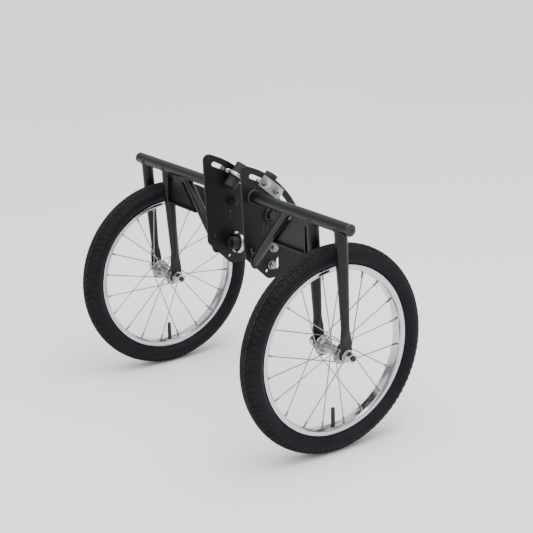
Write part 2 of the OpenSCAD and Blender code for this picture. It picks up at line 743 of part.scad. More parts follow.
module valve_cap() {
    color("#101010") at_wheel() rotate([0, 0, valve_angle + 90])
        translate([bed_r - valve_l + 8 - seat, 0, 0]) rotate([0, -90, 0]) rotate_extrude() polygon([
            [0, 0], [valve_d / 2, 0], [valve_d / 2, valve_cap_l - 2.6], [valve_d / 2 - 0.6, valve_cap_l - 1],
            [valve_d / 2 - 1.8, valve_cap_l - 0.2], [0, valve_cap_l]
        ]);
}

bracket_plate();  // right_bracket_plate
arm();  // right_arm
arm_plug();  // right_arm_plug
brace();  // right_brace
gusset();  // right_gusset
inner_leg();  // right_inner_leg
outer_leg();  // right_outer_leg
clamp_plate();  // right_clamp_plate
clamp_saddle();  // right_clamp_saddle
clamp_bolts();  // right_clamp_bolts
clamp_nuts();  // right_clamp_nuts
low_saddle();  // right_low_saddle
low_bolts();  // right_low_bolts
low_nuts();  // right_low_nuts
steady_bolt();  // right_steady_bolt
steady_nut();  // right_steady_nut
axle();  // right_axle
cones();  // right_cones
locknuts();  // right_locknuts
axle_washers();  // right_axle_washers
axle_nuts();  // right_axle_nuts
tyre();  // right_tyre
rim();  // right_rim
spokes();  // right_spokes
nipples();  // right_nipples
hub_shell();  // right_hub_shell
bearing_balls();  // right_bearing_balls
dust_caps();  // right_dust_caps
inner_tube();  // right_inner_tube
valve_cap();  // right_valve_cap
left() bracket_plate();  // left_bracket_plate
left() arm();  // left_arm
left() arm_plug();  // left_arm_plug
left() brace();  // left_brace
left() gusset();  // left_gusset
left() inner_leg();  // left_inner_leg
left() outer_leg();  // left_outer_leg
left() clamp_plate();  // left_clamp_plate
left() clamp_saddle();  // left_clamp_saddle
left() clamp_bolts();  // left_clamp_bolts
left() clamp_nuts();  // left_clamp_nuts
left() low_saddle();  // left_low_saddle
left() low_bolts();  // left_low_bolts
left() low_nuts();  // left_low_nuts
left() steady_bolt();  // left_steady_bolt
left() steady_nut();  // left_steady_nut
left() axle();  // left_axle
left() cones();  // left_cones
left() locknuts();  // left_locknuts
left() axle_washers();  // left_axle_washers
left() axle_nuts();  // left_axle_nuts
left() tyre();  // left_tyre
left() rim();  // left_rim
left() spokes();  // left_spokes
left() nipples();  // left_nipples
left() hub_shell();  // left_hub_shell
left() bearing_balls();  // left_bearing_balls
left() dust_caps();  // left_dust_caps
left() inner_tube();  // left_inner_tube
left() valve_cap();  // left_valve_cap
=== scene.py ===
"""The looks of a pair of bicycle training wheels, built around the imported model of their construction."""
import json
import math

import bmesh
import bpy
import numpy as np
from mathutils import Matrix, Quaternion, Vector


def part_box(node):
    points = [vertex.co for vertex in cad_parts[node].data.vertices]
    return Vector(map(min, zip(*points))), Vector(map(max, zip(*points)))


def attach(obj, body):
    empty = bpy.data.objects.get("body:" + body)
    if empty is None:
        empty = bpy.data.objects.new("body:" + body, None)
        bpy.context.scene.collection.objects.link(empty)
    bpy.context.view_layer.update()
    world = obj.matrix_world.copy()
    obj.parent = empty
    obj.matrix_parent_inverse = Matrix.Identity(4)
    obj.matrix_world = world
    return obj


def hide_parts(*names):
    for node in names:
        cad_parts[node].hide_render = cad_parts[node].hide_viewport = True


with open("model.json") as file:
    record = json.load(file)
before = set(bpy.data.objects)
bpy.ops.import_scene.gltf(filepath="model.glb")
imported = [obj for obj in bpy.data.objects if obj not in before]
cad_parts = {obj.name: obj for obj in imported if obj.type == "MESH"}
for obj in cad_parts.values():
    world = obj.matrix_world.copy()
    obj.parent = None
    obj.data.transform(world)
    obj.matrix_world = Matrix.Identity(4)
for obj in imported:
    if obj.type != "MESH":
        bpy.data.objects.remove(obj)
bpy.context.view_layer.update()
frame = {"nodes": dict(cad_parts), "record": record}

MM = 0.001
TURN = 2 * math.pi

# Sizes and places read from the frame, on the right side
tyre_low, tyre_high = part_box("right_tyre")
rim_low, rim_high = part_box("right_rim")
arm_low, arm_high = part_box("right_arm")
plate_low, plate_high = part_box("right_bracket_plate")
wheel_x = (tyre_low.x + tyre_high.x) / 2
axle_z = (tyre_low.z + tyre_high.z) / 2
tyre_r = (tyre_high.z - tyre_low.z) / 2
tyre_half_w = (tyre_high.x - tyre_low.x) / 2
rim_r = (rim_high.z - rim_low.z) / 2
arm_y = (arm_low.y + arm_high.y) / 2
plate_out = plate_high.x
arm_d = 22 * MM
arm_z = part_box("right_arm_plug")[0].z + arm_d / 2

# Camera, at the photograph's own place
camera_place = Vector((2.0872, -1.3861, 1.0758))
camera_aim = Vector((0.0032, 0.0561, 0.2680))
camera_roll = math.radians(-1.256)
camera_lens = 92.26
film_width = 36
nearest_seen, furthest_seen = 0.05, 60


def aimed(place, aim, roll=0):
    """The turn of a camera or lamp at a place that looks at the aim."""
    turn = (place - aim).to_track_quat("Z", "Y")
    return turn @ Quaternion((0, 0, 1), roll)


def make_camera():
    camera = bpy.data.objects.new("camera", bpy.data.cameras.new("camera"))
    camera.data.lens = camera_lens
    camera.data.sensor_width = film_width
    camera.data.clip_start = nearest_seen
    camera.data.clip_end = furthest_seen
    camera.location = camera_place
    camera.rotation_mode = "QUATERNION"
    camera.rotation_quaternion = aimed(camera_place, camera_aim, camera_roll)
    bpy.context.scene.collection.objects.link(camera)
    bpy.context.scene.camera = camera


def set_stops(ramp, stops, tint=(1, 1, 1)):
    """Sets a ramp's stops, each a place and a shade. The first two are there already."""
    for index, (at, shade) in enumerate(stops):
        stop = ramp.elements[index] if index < 2 else ramp.elements.new(at)
        stop.position = at
        stop.color = (*(shade * part for part in tint), 1)


class Value:
    """A socket that varies over a surface. An expression on it adds its Math nodes."""

    def __init__(self, finish, socket):
        self.finish = finish
        self.socket = socket

    def math(self, operation, *terms, clamp=False):
        return self.finish.node("ShaderNodeMath", {"operation": operation, "use_clamp": clamp}, terms)

    def __add__(self, other):
        return self.math("ADD", self, other)

    def __radd__(self, other):
        return self.math("ADD", other, self)

    def __sub__(self, other):
        return self.math("SUBTRACT", self, other)

    def __rsub__(self, other):
        return self.math("SUBTRACT", other, self)

    def __mul__(self, other):
        return self.math("MULTIPLY", self, other)

    def __rmul__(self, other):
        return self.math("MULTIPLY", other, self)

    def __pow__(self, other):
        return self.math("POWER", self, other)

    def size(self):
        return self.math("ABSOLUTE", self)

    def above(self, edge, soft):
        """0 up to the edge, and 1 from the edge plus soft on."""
        return self.math("DIVIDE", self - edge, soft, clamp=True)


class Finish:
    """One material: its Principled shader, and the one way in which a node is added to it."""

    def __init__(self, name, **constants):
        self.material = bpy.data.materials.new(name)
        self.material.use_nodes = True
        self.tree = self.material.node_tree
        self.tree.nodes.clear()
        self.shader = self.tree.nodes.new("ShaderNodeBsdfPrincipled")
        output = self.tree.nodes.new("ShaderNodeOutputMaterial")
        self.tree.links.new(self.shader.outputs[0], output.inputs[0])
        for socket, amount in constants.items():
            self.shader.inputs[socket.replace("_", " ")].default_value = amount
        self.place = self.node("ShaderNodeTexCoord", output="Object")

    def feed(self, socket, value):
        """Links a varying value to a socket, or sets a plain number or colour on it."""
        if isinstance(value, Value):
            self.tree.links.new(value.socket, socket)
        elif isinstance(value, tuple) and len(value) == 3 and socket.type == "RGBA":
            socket.default_value = (*value, 1)
        else:
            socket.default_value = value

    def node(self, kind, settings=None, inputs=None, output=0):
        """Adds one node: its settings first, then the values or links of its sockets."""
        made = self.tree.nodes.new(kind)
        for name, setting in (settings or {}).items():
            if name == "stops":
                set_stops(made.color_ramp, setting)
            else:
                setattr(made, name, setting)
        wanted = inputs.items() if isinstance(inputs, dict) else enumerate(inputs or ())
        for key, value in wanted:
            self.feed(made.inputs[key], value)
        return Value(self, made.outputs[output])

    def noise(self, scale, detail=2, rough=0.5, place=None):
        return self.node("ShaderNodeTexNoise", {}, {
            "Vector": place or self.place, "Scale": scale, "Detail": detail, "Roughness": rough})

    def cells(self, scale):
        return self.node("ShaderNodeTexVoronoi", {}, {"Vector": self.place, "Scale": scale})

    def ramp(self, value, *stops):
        return self.node("ShaderNodeValToRGB", {"stops": stops}, {"Fac": value})

    def mix(self, factor, a, b):
        return self.node("ShaderNodeMix", {"data_type": "RGBA"}, {0: factor, 6: a, 7: b}, output=2)

    def stretched(self, x, y, z):
        return self.node("ShaderNodeVectorMath", {"operation": "MULTIPLY"}, {0: self.place, 1: (x, y, z)})

    def axis(self, name):
        return self.node("ShaderNodeSeparateXYZ", {}, {0: self.place}, output=name)

    def from_axle(self):
        """How far forward, how high and how far out of the axle a point lies."""
        y, z = self.axis("Y"), self.axis("Z") - axle_z
        return y, z, (y * y + z * z) ** 0.5

    def around_axle(self, x_scale, radius_scale, angle_scale):
        """Coordinates that run across the wheel, out from the axle and round it."""
        y, z, radius = self.from_axle()
        angle = self.node("ShaderNodeMath", {"operation": "ARCTAN2"}, [y, z])
        return self.node("ShaderNodeCombineXYZ", {}, [
            self.axis("X") * x_scale, radius * radius_scale, angle * angle_scale])

    def wear(self, **changes):
        """Feeds what changes over the surface to the shader."""
        for socket, value in changes.items():
            self.feed(self.shader.inputs[socket.replace("_", " ")], value)
        return self

    def bump(self, height, strength, depth):
        normal = self.node("ShaderNodeBump", {}, {
            "Strength": strength, "Distance": depth, "Height": height})
        self.feed(self.shader.inputs["Normal"], normal)
        return self


def powder_coat():
    """Satin black powder coat: a fine orange peel, and shade and gloss that drift over a hand's width."""
    f = Finish("black_powder_coat", Coat_Weight=0.08, Coat_Roughness=0.2, Specular_IOR_Level=0.22)
    drift = f.noise(9, 3, 0.55)
    peel = f.noise(620, 2, 0.45)
    grain = f.noise(2600, 1)
    deep, faded = (0.0034, 0.0038, 0.0048), (0.0068, 0.0074, 0.0090)
    f.wear(Base_Color=f.mix(f.ramp(drift, (0.35, 0), (0.7, 1)), deep, faded))
    f.wear(Roughness=0.26 + 0.12 * drift + 0.05 * grain)
    return f.bump(peel + 0.25 * grain, 0.22, 0.12 * MM)


def pressed_coat():
    """The powder coat on rolled sheet: duller and a little darker, with faint rolling marks."""
    f = Finish("sheet_powder_coat", Coat_Weight=0.05, Coat_Roughness=0.3, Specular_IOR_Level=0.24)
    drift = f.noise(12, 3, 0.6)
    peel = f.noise(700, 2, 0.45)
    rolled = f.noise(60, 2, 0.5, f.stretched(1, 1, 12))
    deep, faded = (0.0030, 0.0033, 0.0040), (0.0060, 0.0064, 0.0074)
    f.wear(Base_Color=f.mix(f.ramp(drift, (0.3, 0), (0.7, 1)), deep, faded))
    f.wear(Roughness=0.36 + 0.10 * drift + 0.08 * rolled)
    return f.bump(peel + 0.3 * rolled, 0.2, 0.12 * MM)


def weld_coat():
    """Powder coat over a weld, which pools in the ripples."""
    f = Finish("weld_powder_coat", Coat_Weight=0.2, Coat_Roughness=0.22, Specular_IOR_Level=0.4)
    lumps = f.noise(240, 2, 0.5)
    deep, faded = (0.0055, 0.0058, 0.0068), (0.0120, 0.0125, 0.0140)
    f.wear(Base_Color=f.mix(lumps, deep, faded))
    f.wear(Roughness=0.34 + 0.14 * lumps)
    return f.bump(lumps, 0.3, 0.3 * MM)


def zinc(name, shade, blue, rough):
    """Zinc plating of one shade: mottled, with cool and warm patches and fine tool marks."""
    f = Finish(name, Metallic=1.0)
    mottle = f.noise(70, 4, 0.6)
    cast = f.noise(26, 2)
    marks = f.noise(500, 2, 0.6, f.stretched(1, 1, 0.12))
    light = tuple(shade * part for part in (1.0, 1.0, 0.99))
    cool = tuple(shade * part for part in (0.82, 0.94 + blue, 0.95 + blue))
    warm = tuple(shade * part for part in (0.90, 0.91, 0.87))
    tint = f.mix(f.ramp(cast, (0.4, 0), (0.62, 1)), cool, warm)
    f.wear(Base_Color=f.mix(f.ramp(mottle, (0.3, 0), (0.75, 1)), tint, light))
    f.wear(Roughness=rough + 0.16 * mottle + 0.06 * marks)
    return f.bump(marks + 0.6 * mottle, 0.16, 0.1 * MM)


def black_finish():
    """Blackened steel of the steadying bolt and its nut, dull and slightly brown."""
    f = Finish("black_oxide", Metallic=0.55)
    bloom = f.noise(110, 3, 0.6)
    black, brown = (0.016, 0.015, 0.015), (0.038, 0.036, 0.035)
    f.wear(Base_Color=f.mix(bloom, black, brown))
    f.wear(Roughness=0.38 + 0.18 * bloom)
    return f.bump(f.noise(1400, 2), 0.18, 0.1 * MM)


def dark_thread():
    """Oiled dark steel of the axle."""
    f = Finish("dark_axle", Metallic=0.9)
    oil = f.noise(160, 3, 0.6)
    oiled, bare = (0.016, 0.016, 0.016), (0.050, 0.049, 0.048)
    f.wear(Base_Color=f.mix(oil, oiled, bare))
    f.wear(Roughness=0.3 + 0.2 * oil)
    return f.bump(f.noise(2200, 2), 0.15, 0.08 * MM)


def tyre_rubber():
    """Matt black rubber: bluish side walls, a browner worn tread, and pale lines of painted highlight in
    the centre grooves.
    """
    tread_reach, tread_fade = 14 * MM, 9 * MM
    # Depth and half width of the painted highlight: pale lines laid in the bottoms of the centre grooves
    highlight_depth, depth_fade = 2 * MM, 1.2 * MM
    highlight_half_w, edge_fade = 6 * MM, 0.4 * MM
    f = Finish("tyre_rubber", Specular_IOR_Level=0.12)
    radius = f.from_axle()[2]
    tread = radius.above(tyre_r - tread_reach, tread_fade)
    bloom = f.noise(38, 4, 0.6)
    grain = f.noise(1500, 2, 0.6)
    mould_lines = f.noise(1, 2, 0.5, f.around_axle(300, 2600, 3))
    off_centre = (f.axis("X").size() - wheel_x).size()
    # Mask of the centre groove bottoms, where the highlight is painted
    is_deep = 1 - radius.above(tyre_r - highlight_depth, depth_fade)
    is_central = 1 - off_centre.above(highlight_half_w, edge_fade)
    groove_highlight_mask = is_deep * is_central
    wall_dark, wall_bloomed = (0.0042, 0.0047, 0.0062), (0.0082, 0.0089, 0.0112)
    worn_dark, worn_pale = (0.0058, 0.0057, 0.0056), (0.0125, 0.0121, 0.0115)
    # Pale colours of the painted highlight, which stand in for the light that the groove edges catch
    highlight_dim, highlight_bright = (0.055, 0.053, 0.049), (0.100, 0.096, 0.089)
    wall = f.mix(f.ramp(bloom, (0.3, 0), (0.75, 1)), wall_dark, wall_bloomed)
    worn = f.mix(f.ramp(bloom, (0.35, 0), (0.7, 1)), worn_dark, worn_pale)
    groove_highlight = f.mix(bloom, highlight_dim, highlight_bright)
    # Tread and wall colours, with the painted highlight laid over the centre groove bottoms
    f.wear(Base_Color=f.mix(groove_highlight_mask, f.mix(tread, wall, worn), groove_highlight))
    f.wear(Roughness=0.5 + 0.14 * bloom + 0.12 * tread + 0.05 * grain)
    return f.bump(0.6 * grain + 0.5 * mould_lines, 0.35, 0.18 * MM)


def soft_rubber(name, rough):
    """Plain black rubber of the valve stems and of the sleeves round the stays."""
    f = Finish(name, Specular_IOR_Level=0.4)
    bloom = f.noise(120, 3, 0.6)
    black, bloomed = (0.008, 0.008, 0.0085), (0.018, 0.018, 0.0185)
    f.wear(Base_Color=f.mix(bloom, black, bloomed))
    f.wear(Roughness=rough + 0.2 * bloom)
    return f.bump(f.noise(1800, 2), 0.25, 0.1 * MM)


def plug_plastic():
    """Moulded black plastic with a fine spark grain."""
    f = Finish("moulded_plastic", Specular_IOR_Level=0.45)
    cloud = f.noise(60, 3)
    grain = f.cells(1500)
    deep, faded = (0.007, 0.007, 0.0075), (0.014, 0.014, 0.0145)
    f.wear(Base_Color=f.mix(cloud, deep, faded))
    f.wear(Roughness=0.36 + 0.16 * cloud)
    return f.bump(grain, 0.15, 0.1 * MM)


def chrome():
    """Chromed rim: near mirror, with faint rolling lines round the hoop and a drift of haze."""
    f = Finish("rim_chrome", Metallic=1.0)
    haze = f.noise(14, 3, 0.6)
    lines = f.noise(1, 2, 0.55, f.around_axle(1400, 1400, 2.5))
    specks = f.ramp(f.noise(900, 2, 0.7), (0.66, 0), (0.74, 1))
    hazed, clear = (0.50, 0.51, 0.53), (0.64, 0.65, 0.67)
    f.wear(Base_Color=f.mix(haze, hazed, clear))
    f.wear(Roughness=0.05 + 0.08 * haze + 0.08 * lines + 0.1 * specks)
    return f.bump(lines, 0.05, 0.05 * MM)


def hub_steel():
    """Turned and polished hub, with tool lines round its axis."""
    f = Finish("hub_steel", Metallic=1.0)
    lines = f.noise(1, 3, 0.6, f.around_axle(1800, 1800, 1.2))
    film = f.noise(45, 3, 0.6)
    filmed, clean = (0.26, 0.27, 0.27), (0.46, 0.47, 0.46)
    f.wear(Base_Color=f.mix(film, filmed, clean))
    f.wear(Roughness=0.2 + 0.14 * lines + 0.1 * film)
    return f.bump(lines, 0.2, 0.1 * MM)


def wire():
    """Drawn wire of the spokes."""
    f = Finish("spoke_wire", Metallic=1.0)
    drawn = f.noise(240, 3, 0.6)
    dull, bright = (0.20, 0.205, 0.21), (0.34, 0.345, 0.35)
    f.wear(Base_Color=f.mix(drawn, dull, bright))
    f.wear(Roughness=0.2 + 0.14 * drawn)
    return f.bump(f.noise(1600, 2), 0.12, 0.06 * MM)


def nickel():
    """Nickel-plated brass of the nipples, in dull and bright patches."""
    f = Finish("nipple_nickel", Metallic=1.0)
    patches = f.noise(150, 3, 0.6)
    dull, bright = (0.16, 0.15, 0.14), (0.36, 0.35, 0.33)
    f.wear(Base_Color=f.mix(patches, dull, bright))
    f.wear(Roughness=0.2 + 0.2 * patches)
    return f.bump(f.noise(900, 2), 0.15, 0.08 * MM)


def ground_steel():
    """Hard ground steel of the cones and balls."""
    f = Finish("ground_steel", Metallic=1.0)
    tint = f.noise(200, 3)
    grey, bright = (0.42, 0.42, 0.41), (0.6, 0.6, 0.59)
    f.wear(Base_Color=f.mix(tint, grey, bright))
    f.wear(Roughness=0.12 + 0.12 * tint)
    lines = f.noise(1, 2, 0.5, f.around_axle(1600, 1600, 1))
    return f.bump(lines, 0.15, 0.06 * MM)


# The finish of each material slot, and two more for pressed sheet and for welds
finishes = {
    "black_paint": powder_coat(),
    "sheet": pressed_coat(),
    "weld": weld_coat(),
    "plug_plastic": plug_plastic(),
    "zinc_plate": zinc("zinc_plate", shade=0.30, blue=0.01, rough=0.34),
    "zinc_bolt": zinc("zinc_bolt", shade=0.46, blue=0.05, rough=0.14),
    "black_oxide": black_finish(),
    "dark_axle": dark_thread(),
    "hardened_steel": ground_steel(),
    "tyre_rubber": tyre_rubber(),
    "chromed_rim": chrome(),
    "spoke_steel": wire(),
    "nipple_plate": nickel(),
    "hub_steel": hub_steel(),
    "tube_rubber": soft_rubber("valve_rubber", rough=0.52),
    "sleeve_rubber": soft_rubber("sleeve_rubber", rough=0.6),
}
other_finish = {"bracket_plate": "sheet", "gusset": "sheet", "steady_nut": "black_oxide"}


def dress_nodes():
    """Gives each carried-over node the finish of its slot, or the other finish named for it."""
    slots = {part["node"]: part["material_slot"] for part in frame["record"]["subparts"]}
    for name, node in frame["nodes"].items():
        key = other_finish.get(name.split("_", 1)[1], slots[name])
        node.data.materials.clear()
        node.data.materials.append(finishes[key].material)


def piece(name, points, faces, body, finish, crease):
    """One closed mesh piece that rides on a body, with edges sharper than the crease left sharp."""
    mesh = bpy.data.meshes.new(name)
    mesh.from_pydata(points, [], faces)
    shape = bmesh.new()
    shape.from_mesh(mesh)
    bmesh.ops.recalc_face_normals(shape, faces=shape.faces)
    shape.to_mesh(mesh)
    shape.free()
    mesh.shade_smooth()
    mesh.set_sharp_from_angle(angle=math.radians(crease))
    mesh.materials.append(finishes[finish].material)
    made = bpy.data.objects.new(name, mesh)
    bpy.context.scene.collection.objects.link(made)
    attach(made, body)
    return made


def skin(rings, start, looped):
    """Faces of a tube through rings of points, from a point's number on, capped or joined end to end."""
    count, around = len(rings), len(rings[0])
    faces = []
    for i in range(count if looped else count - 1):
        here, there = start + i * around, start + (i + 1) % count * around
        for j in range(around):
            k = (j + 1) % around
            faces.append((here + j, here + k, there + k, there + j))
    if not looped:
        last = start + (count - 1) * around
        faces.append(tuple(range(start + around - 1, start - 1, -1)))
        faces.append(tuple(range(last, last + around)))
    return faces


def gathered(parts, looped=False):
    """Points and faces of several tubes, kept as loose shells of one mesh."""
    points, faces = [], []
    for rings in parts:
        faces += skin(rings, len(points), looped)
        points += [tuple(p) for ring in rings for p in ring]
    return points, faces


def side_points(points, side):
    """The same points on the right, side 1, or mirrored to the left, side -1."""
    return [(side * p[0], p[1], p[2]) for p in points]


# Tyre, with its wavy centre grooves and notched shoulders
blocks = 96
steps_per_block = 8
groove_depth = 1.9 * MM
crown_h = 20.5 * MM
section_r = tyre_r - crown_h
wall_t, under_tread = 3 * MM, 5.5 * MM
bead_half, above_bead = 11.2 * MM, 1.2 * MM

# Rows of the section, as degrees up from its widest place: many over the tread, few elsewhere
tread_rows, shoulder_rows = (90, 25, 53), (21, 0, 6)
inside_rows = (-20, 10, 40, 65, 90)

# Steps down the side wall: the share of its height, and how far in from the widest place in millimetres
wall_steps = ((0.22, 0.5), (0.34, 1.1), (0.38, 1.0), (0.5, 2.4), (0.64, 4.2), (0.8, 6.6), (0.94, 9.2))

# Corners of the bead in millimetres: out from its half width, and out from the rim's edge
bead_outside = ((0, 0.2), (-0.4, -3), (0, -5.5))
bead_inside = ((-3, -5.5), (-3, 1.5))

# Grooves in millimetres: place from the middle, swing, half width; then the wave's start in blocks
inner_groove = (4.3, 0.5, 0.8, 0)
middle_groove = (9.4, 0.7, 0.65, 0.25)
edge_groove = (15.0, 0.5, 0.5, 0.5)
groove_soft, edge_depth = 0.35, 0.6

# How far in blocks the two halves of the tread are out of step
halves_apart = 0.5

# Pockets between the grooves and notches in the shoulder, each in the middle of its block
pocket_at, pocket_half, pocket_depth = 7.4, 1.3, 0.8
pocket_share, pocket_soft = 0.13, 0.08
notch_from, notch_from_soft = 13.2, 0.8
notch_until, notch_until_soft = 24.2, 1.2
notch_share, notch_soft = 0.15, 0.09


def soft_step(value, edge, soft):
    """0 below the edge and 1 above it, with a smooth rise of that width between."""
    t = np.clip((value - edge) / soft + 0.5, 0, 1)
    return t * t * (3 - 2 * t)


def zigzag(phase):
    """A straight-sided wave between -1 and 1, one for each block."""
    return 4 * np.abs(phase - np.floor(phase + 0.5)) - 1


def channel(across, centre, half):
    """1 inside a groove of that half width, with steep sides, in millimetres."""
    return soft_step(half - np.abs(across - centre), 0, groove_soft)


def wavy_groove(across, phase, groove):
    centre, swing, half, start = groove
    return channel(across, centre + swing * zigzag(phase + start), half)


def mid_block(phase, share, soft):
    """1 within that share of a block's length from its middle."""
    return soft_step(share - np.abs(phase - np.floor(phase) - 0.5), 0, soft)


def tread_depth(across, phase, side):
    """How deep the tread is cut, as a share, at a distance across the crown and a phase round the tyre."""
    across = np.abs(across)
    phase = phase + halves_apart * (side < 0)
    inner = wavy_groove(across, phase, inner_groove)
    middle = wavy_groove(across, phase, middle_groove)
    pocket = channel(across, pocket_at, pocket_half) * mid_block(phase, pocket_share, pocket_soft)
    notch = soft_step(across, notch_from, notch_from_soft)
    notch = notch * soft_step(notch_until - across, 0, notch_until_soft)
    notch = notch * mid_block(phase, notch_share, notch_soft)
    edge = wavy_groove(across, phase, edge_groove) * edge_depth
    return np.clip(inner + middle + pocket_depth * pocket + notch + edge, 0, 1)


def on_oval(half_w, height, degrees):
    """A point of the tyre's section as (x, radius), at an angle up from its widest place."""
    turn = math.radians(degrees)
    return half_w * math.cos(turn), section_r + height * math.sin(turn)


def tyre_outline():
    """Section of the tyre as (x, radius), crown to bead outside, then back inside."""
    turns = np.concatenate([np.linspace(*tread_rows), np.linspace(*shoulder_rows)])
    out = [on_oval(tyre_half_w, crown_h, turn) for turn in turns]
    fall = section_r - rim_r - above_bead
    out += [(tyre_half_w - inset * MM, section_r - fall * share) for share, inset in wall_steps]
    out += [(bead_half + x * MM, rim_r + r * MM) for x, r in bead_outside]
    inside = [(bead_half + x * MM, rim_r + r * MM) for x, r in bead_inside]
    inside += [on_oval(tyre_half_w - wall_t, crown_h - under_tread, turn) for turn in inside_rows]
    return out, inside


def make_tyre(side, name, body, node):
    """The tyre, as its section carried round the axle and pressed in where the tread is cut."""
    out, inside = tyre_outline()
    half = out + inside
    loop = [(-x, r) for x, r in half[1:-1]][::-1] + half
    out_count = len(out) - 1
    x = np.array([p[0] for p in loop])
    r = np.array([p[1] for p in loop])
    crown_at = len(half) - 2
    lengths = np.hypot(np.diff(x), np.diff(r))
    across = np.concatenate([[0], np.cumsum(lengths)])
    across = (across - across[crown_at]) / MM
    slope_x, slope_r = np.gradient(x), np.gradient(r)
    size = np.hypot(slope_x, slope_r)
    inward_x = -np.abs(slope_r) / size * np.sign(x)
    inward_r = -np.abs(slope_x) / size
    on_tread = np.abs(np.arange(len(loop)) - crown_at) <= out_count
    around = blocks * steps_per_block
    rings = []
    for k in range(around):
        phase = k / steps_per_block
        depth = groove_depth * tread_depth(across, phase, np.sign(across)) * on_tread
        ring_x = wheel_x + x + inward_x * depth
        ring_r = r + inward_r * depth
        angle = TURN * k / around
        ring = [ring_x, ring_r * math.sin(angle), axle_z + ring_r * math.cos(angle)]
        rings.append(np.stack(ring, axis=1))
    points, faces = gathered([rings], looped=True)
    made = piece(name, side_points(points, side), faces, body, "tyre_rubber", crease=38)
    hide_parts(node)


# Welds, laid as rippled beads along the line where two pieces meet
weld_w, plate_weld_w, root_weld_w = 3.4 * MM, 4.4 * MM, 5 * MM
weld_ripple, ripple_h = 1.7 * MM, 0.09
wander_h, wander_turn = 0.05, 700
off_tube, off_plate = 1.2 * MM, 0.6 * MM


def bead_along(line, width, sides=10):
    """A rippled weld bead as rings round a closed line of points."""
    line = [Vector(p) for p in line]
    count = len(line)
    rings, run = [], 0.0
    for i, here in enumerate(line):
        ahead = line[(i + 1) % count]
        behind = line[i - 1]
        along = (ahead - behind).normalized()
        guide = Vector((0, 0, 1)) if abs(along.z) < 0.9 else Vector((1, 0, 0))
        one = along.cross(guide).normalized()
        two = along.cross(one)
        waves = ripple_h * math.sin(TURN * run / weld_ripple) + wander_h * math.sin(run * wander_turn + 1)
        radius = width / 2 * (1 + waves)
        run += (ahead - here).length
        turns = [TURN * j / sides for j in range(sides)]
        rings.append([here + radius * (math.cos(turn) * one + math.sin(turn) * two) for turn in turns])
    return rings


def around_tube(centre, axis, tube_r, until, steps=150):
    """Points round a tube, each carried along the tube's axis by until(point)."""
    axis = Vector(axis).normalized()
    one = axis.orthogonal().normalized()
    two = axis.cross(one)
    points = []
    for k in range(steps):
        angle = TURN * k / steps
        start = Vector(centre) + tube_r * (math.cos(angle) * one + math.sin(angle) * two)
        points.append(start + until(start, axis) * axis)
    return points


def to_arm(start, axis):
    """How far along the axis a point reaches the arm's surface, or the level of its middle at the sides."""
    radius = arm_d / 2
    ay, az = axis.y, axis.z
    oy, oz = start.y - arm_y, start.z - arm_z
    a, b, c = ay * ay + az * az, oy * ay + oz * az, oy * oy + oz * oz - radius * radius
    inside = b * b - a * c
    if inside <= 0:
        return -oz / az
    return (-b - math.sqrt(inside)) / a


def to_plate(start, axis):
    """How far along the axis a point reaches the plate's outer face."""
    return (plate_out + off_plate - start.x) / axis.x


# Legs and brace, which meet the arm at the level of its middle
leg_r, brace_r = 11.5 * MM, 9 * MM
brace_foot_z, brace_reach = 309 * MM, 114 * MM
brace_foot = Vector((plate_out, arm_y, brace_foot_z))
brace_head = Vector((plate_out + brace_reach, arm_y, arm_z))


def leg_ends(leg):
    """Top and foot of a right leg's own line, from the arm to the axle."""
    low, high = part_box("right_" + leg)
    x = (low.x + high.x) / 2
    return Vector((x, arm_y, arm_z)), Vector((x, 0, axle_z))


def make_welds(side, name):
    """Beads round the legs and the brace under the arm, and round the brace and the arm on the plate."""
    leg_run, brace_run, foot_run, root_run = 40 * MM, 45 * MM, 30 * MM, 20 * MM
    parts = []
    for leg in ("inner_leg", "outer_leg"):
        top, foot = leg_ends(leg)
        axis = top - foot
        start = top - axis.normalized() * leg_run
        parts.append(bead_along(around_tube(start, axis, leg_r, to_arm), weld_w))
    axis = brace_head - brace_foot
    start = brace_head - axis.normalized() * brace_run
    parts.append(bead_along(around_tube(start, axis, brace_r, to_arm), weld_w))
    start = brace_foot + axis.normalized() * foot_run
    parts.append(bead_along(around_tube(start, -axis, brace_r + off_tube, to_plate), plate_weld_w))
    root = (plate_out + root_run, arm_y, arm_z)
    parts.append(bead_along(around_tube(root, (-1, 0, 0), arm_d / 2 + off_tube, to_plate), root_weld_w))
    points, faces = gathered(parts, looped=True)
    piece(name, side_points(points, side), faces, "frame", "weld", crease=60)


# Fork legs, which change smoothly from a round tube to a flattened, rounded end
tab_half_w, tab_half_t = 12 * MM, 2.5 * MM
leg_low_r = 8 * MM
leg_straight, leg_press, leg_flat = 62 * MM, 58 * MM, 20 * MM
into_arm = 0.6 * MM
leg_sides, press_steps, tip_steps, tip_turn = 48, 12, 15, 6
round_section, square_section = 2, 6


def leg_stations(length):
    """Rows down a leg: distance, half thickness, half width, and how square the section is."""
    taper_end, flat = length - leg_press, length - leg_flat
    stations = [(t, leg_r, leg_r, round_section) for t in (arm_d / 2, arm_d, leg_straight)]
    stations.append((taper_end, leg_low_r, leg_low_r, round_section))
    for k in range(1, press_steps + 1):
        share = k / press_steps
        ease = share * share * (3 - 2 * share)
        half_t = leg_low_r + (tab_half_t - leg_low_r) * ease
        half_w = leg_low_r + (tab_half_w - leg_low_r) * ease
        square = round_section + (square_section - round_section) * ease * ease
        stations.append((taper_end + (flat - taper_end) * share, half_t, half_w, square))
    for k in range(tip_steps):
        turn = math.radians(tip_turn * k)
        below_axle, half_w = tab_half_w * math.sin(turn), tab_half_w * math.cos(turn)
        stations.append((length + below_axle, tab_half_t, half_w, square_section))
    return stations


def rounded(share, square):
    """A cosine or sine pulled towards a square's side."""
    return math.copysign(abs(share) ** (2 / square), share)


